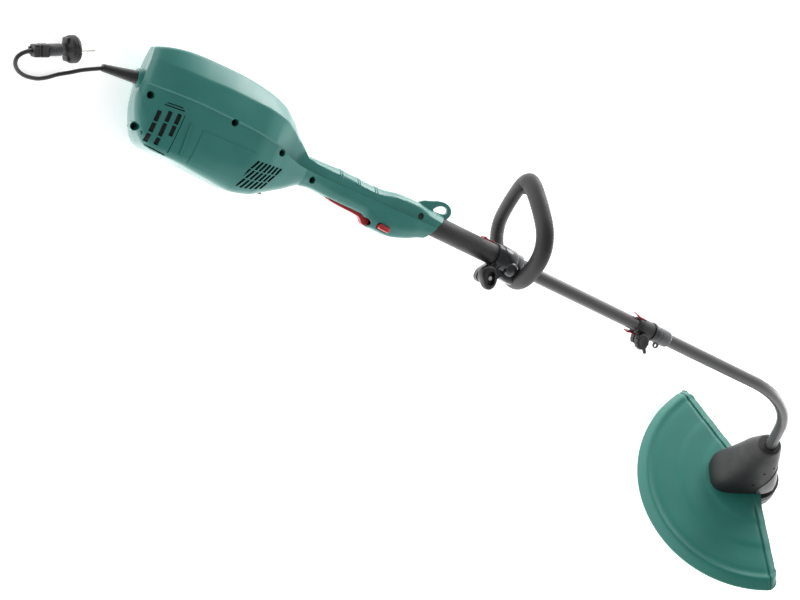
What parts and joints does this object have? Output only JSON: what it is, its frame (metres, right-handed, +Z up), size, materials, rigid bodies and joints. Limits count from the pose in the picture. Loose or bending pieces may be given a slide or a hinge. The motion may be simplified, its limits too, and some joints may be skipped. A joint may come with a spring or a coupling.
{
  "type": "string trimmer",
  "caption": "Corded grass trimmer: green rear motor housing, black sleeve, slim shaft with D-shaped loop handle, turned curved lower shaft, green guard and line spool.",
  "frame": {"origin": "on the floor, under the centre of the tool's box as it lies (without its mains lead and plug)", "axes": "+X level along the shaft from the motor to the cutting head, +Y towards the top of the tool, +Z up from the floor, towards the tool's right side"},
  "size_m": [1.6714, 0.4609, 0.334],
  "materials": {
    "green_plastic": "satin",
    "dark_green_plastic": "satin",
    "black_plastic": "satin",
    "soft_black": "matt",
    "grey_plastic": "satin",
    "coated_tube": "satin",
    "red_plastic": "satin",
    "steel": "machined",
    "laminations": "as stamped",
    "brass": "machined",
    "light_plastic": "satin",
    "nylon_line": "as drawn"
  },
  "bodies": {
    "motor_unit": {"housing_left": "green_plastic", "housing_right": "green_plastic", "housing_screws": "steel", "filter_screens": "black_plastic", "motor_stator": "laminations", "rear_bearing": "steel", "front_bearing": "steel", "brush_holders": "brass", "capacitor": "light_plastic", "switch_block": "black_plastic", "cord_clamp": "black_plastic", "strain_relief": "soft_black", "mains_cord": "soft_black", "plug_body": "black_plastic", "plug_grip": "grey_plastic", "plug_clip": "black_plastic", "plug_pins": "brass", "trigger_pin": "steel", "trigger_spring": "steel", "clamp_sleeve": "black_plastic", "upper_tube": "coated_tube", "drive_cable_upper": "steel", "cable_liner_upper": "light_plastic", "upper_collar": "black_plastic", "collar_seal": "black_plastic", "collar_bolt": "steel"},
    "rotor": {"armature": "laminations", "motor_shaft": "steel", "commutator": "brass", "cooling_fan": "black_plastic", "drive_coupler": "steel"},
    "trigger": {"trigger": "red_plastic"},
    "lock_button": {"lock_button": "red_plastic"},
    "loop_bush": {"clamp_liner": "black_plastic"},
    "loop": {"loop_clamp": "black_plastic", "loop_handle": "soft_black", "loop_bolt": "steel"},
    "loop_knob": {"loop_knob": "black_plastic"},
    "loop_tab": {"loop_tab": "red_plastic"},
    "release_clip": {"release_clip": "red_plastic"},
    "collar_knob": {"collar_knob": "black_plastic"},
    "lower_shaft": {"lower_collar": "grey_plastic", "lower_tube": "coated_tube", "drive_cable_lower": "steel", "cable_liner_lower": "light_plastic", "head_housing": "black_plastic", "head_panel": "grey_plastic", "head_bearings": "steel", "guard": "dark_green_plastic", "guard_screws": "steel", "line_cutter": "steel"},
    "spool": {"spindle": "steel", "spool_housing": "black_plastic", "spool": "light_plastic", "line_winding": "nylon_line", "line_eyelet": "steel", "cutting_line": "nylon_line", "spool_cap": "black_plastic"},
    "tap_button": {"tap_button": "black_plastic", "tap_spring": "steel"}
  },
  "joints": [
    {"name": "trigger_pull", "type": "hinge", "parent": "motor_unit", "child": "trigger", "pos_m": [-0.44369, 0.07848, 0.1046], "axis": [-0.2493, 0, 0.9684], "range_deg": [0, 6], "stiffness_Nm_per_rad": 1.2, "springref_deg": -14.32},
    {"name": "lock_push", "type": "slide", "parent": "motor_unit", "child": "lock_button", "axis": [0.2493, 0, -0.9684], "range_m": [0, 0.004], "stiffness_N_per_m": 400, "springref_m": -0.003},
    {"name": "motor_spin", "type": "hinge", "parent": "motor_unit", "child": "rotor", "pos_m": [-0.62963, 0.07048, 0.05673], "axis": [0.9684, 0, 0.2493], "continuous": true},
    {"name": "loop_slide", "type": "slide", "parent": "motor_unit", "child": "loop_bush", "axis": [-0.9684, 0, -0.2493], "range_m": [0, 0.062]},
    {"name": "loop_turn", "type": "hinge", "parent": "loop_bush", "child": "loop", "pos_m": [-0.15703, 0.10448, 0.17839], "axis": [0.9684, 0, 0.2493], "range_deg": [-40, 40]},
    {"name": "loop_knob_turn", "type": "hinge", "parent": "loop", "child": "loop_knob", "pos_m": [-0.18415, 0.07048, 0.17141], "axis": [-0.2493, 0, 0.9684], "range_deg": [-20, 720]},
    {"name": "loop_tab_push", "type": "slide", "parent": "loop", "child": "loop_tab", "axis": [-0.9684, 0, -0.2493], "range_m": [0, 0.006], "stiffness_N_per_m": 400, "springref_m": -0.003},
    {"name": "release_slide", "type": "slide", "parent": "motor_unit", "child": "release_clip", "axis": [-0.9684, 0, -0.2493], "range_m": [0, 0.008], "stiffness_N_per_m": 400, "springref_m": -0.003},
    {"name": "collar_knob_turn", "type": "hinge", "parent": "motor_unit", "child": "collar_knob", "pos_m": [0.118, 0.08298, 0.24918], "axis": [-0.2493, 0, 0.9684], "range_deg": [0, 180]},
    {"name": "shaft_turn", "type": "hinge", "parent": "motor_unit", "child": "lower_shaft", "pos_m": [0.15674, 0.10448, 0.25916], "axis": [0.9684, 0, 0.2493], "range_deg": [-56, 34]},
    {"name": "spool_spin", "type": "hinge", "parent": "lower_shaft", "child": "spool", "pos_m": [0.73534, -0.03615, 0.19281], "axis": [0.7808, -0.4284, -0.4548], "continuous": true},
    {"name": "tap_push", "type": "slide", "parent": "spool", "child": "tap_button", "axis": [-0.7808, 0.4284, 0.4548], "range_m": [0, 0.004], "stiffness_N_per_m": 1500, "springref_m": -0.003}
  ],
  "couplings": [
    {"joint": "spool_spin", "follows": "motor_spin", "ratio": 1}
  ]
}
